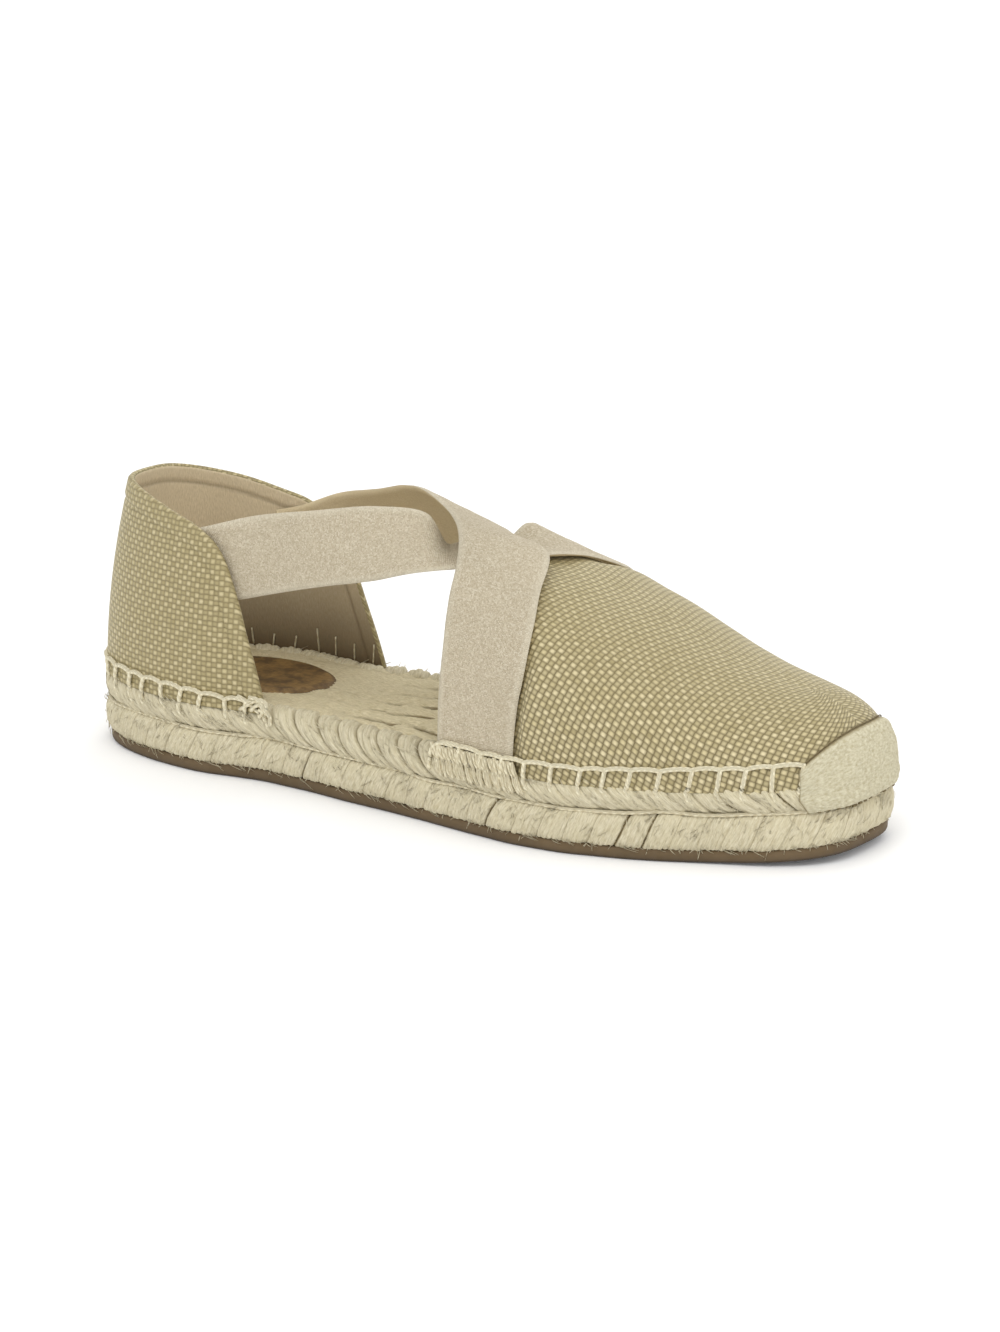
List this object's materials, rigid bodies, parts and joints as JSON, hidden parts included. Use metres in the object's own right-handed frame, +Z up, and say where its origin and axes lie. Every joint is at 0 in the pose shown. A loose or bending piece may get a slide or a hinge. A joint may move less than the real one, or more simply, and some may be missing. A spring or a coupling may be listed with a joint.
{
  "type": "espadrille",
  "caption": "Flat espadrille, right shoe: gold woven toe piece and heel counter, crossed elastic straps over the instep, braided jute sole with a thin rubber outsole.",
  "frame": {"origin": "on the ground half way along the sole, on the line through the middle of the heel", "axes": "+X to the toe, +Y to the inner side of the foot, +Z up"},
  "size_m": [0.2567, 0.09, 0.0886],
  "materials": {
    "rubber": "matt brown rubber",
    "jute": "braided straw-coloured jute",
    "gold_cloth": "coarse metallic gold weave",
    "elastic": "heathered beige elastic",
    "jute_tape": "fine woven jute tape",
    "label_cloth": "tan patch, plain"
  },
  "bodies": {
    "root": {"outsole": "rubber", "jute_sole": "jute", "vamp": "gold_cloth", "heel_counter": "gold_cloth", "strap_under": "elastic", "strap_over": "elastic", "toe_bumper": "jute_tape", "heel_label": "label_cloth"}
  },
  "joints": []
}
